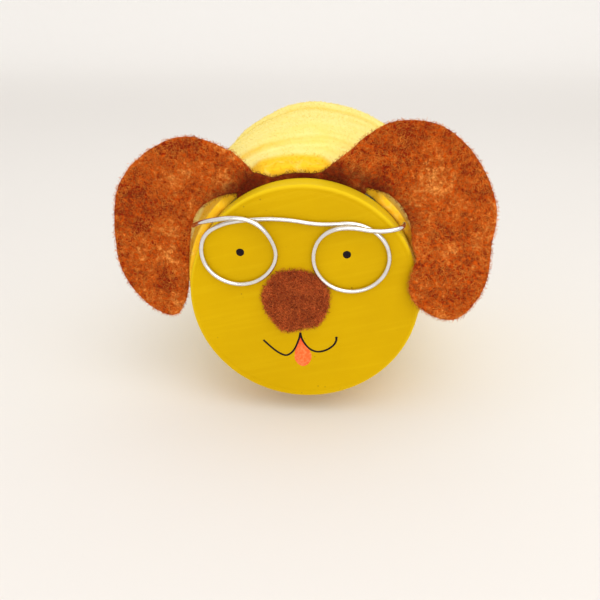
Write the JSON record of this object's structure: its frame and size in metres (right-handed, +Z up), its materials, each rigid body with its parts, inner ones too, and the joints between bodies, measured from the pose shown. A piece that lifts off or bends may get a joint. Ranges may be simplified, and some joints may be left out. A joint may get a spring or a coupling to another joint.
{
  "type": "felt-eared jar toy",
  "caption": "Toy dog made from a lidded jar on its side: painted lid face, fleece-wrapped body, felt ears and nose, wire spectacles.",
  "frame": {"origin": "on the table under the middle of the jar, on the flattened underside of the fleece", "axes": "+X across the face towards the ear that leans forward, +Y along the jar from the face to the back, +Z up"},
  "size_m": [0.1262, 0.1047, 0.1013],
  "materials": {
    "jar_plastic": "plain pale moulded plastic, hidden under the fleece",
    "lid_paint": "warm yellow paint on a moulded lid, faint brush marks, satin",
    "fleece": "soft brushed fleece, pale yellow",
    "ear_felt": "mottled wool felt, rust brown",
    "nose_felt": "fuzzy dark brown felt",
    "craft_wire": "bright drawn craft wire"
  },
  "bodies": {
    "container": {"jar": "jar_plastic", "fleece_wrap": "fleece", "fleece_back": "fleece"},
    "face": {"lid": "lid_paint", "nose": "nose_felt", "ear_strip": "ear_felt"},
    "spectacles": {"glasses_wire": "craft_wire"},
    "left_ear": {"ear_left": "ear_felt"},
    "right_ear": {"ear_right": "ear_felt"}
  },
  "joints": [
    {"name": "lid_pull", "type": "slide", "parent": "container", "child": "face", "axis": [0, -1, 0], "range_m": [0, 0.02]},
    {"name": "spectacles_lift", "type": "slide", "parent": "face", "child": "spectacles", "axis": [0, -1, 0], "range_m": [0, 0.015]},
    {"name": "left_ear_flap", "type": "hinge", "parent": "face", "child": "left_ear", "pos_m": [-0.0197, -0.03965, 0.08091], "axis": [0.6413, 0, 0.7673], "range_deg": [-20, 30], "stiffness_Nm_per_rad": 0.01},
    {"name": "right_ear_flap", "type": "hinge", "parent": "face", "child": "right_ear", "pos_m": [0.01281, -0.03965, 0.08246], "axis": [-0.9211, 0, 0.3893], "range_deg": [0, 30], "stiffness_Nm_per_rad": 0.01}
  ]
}
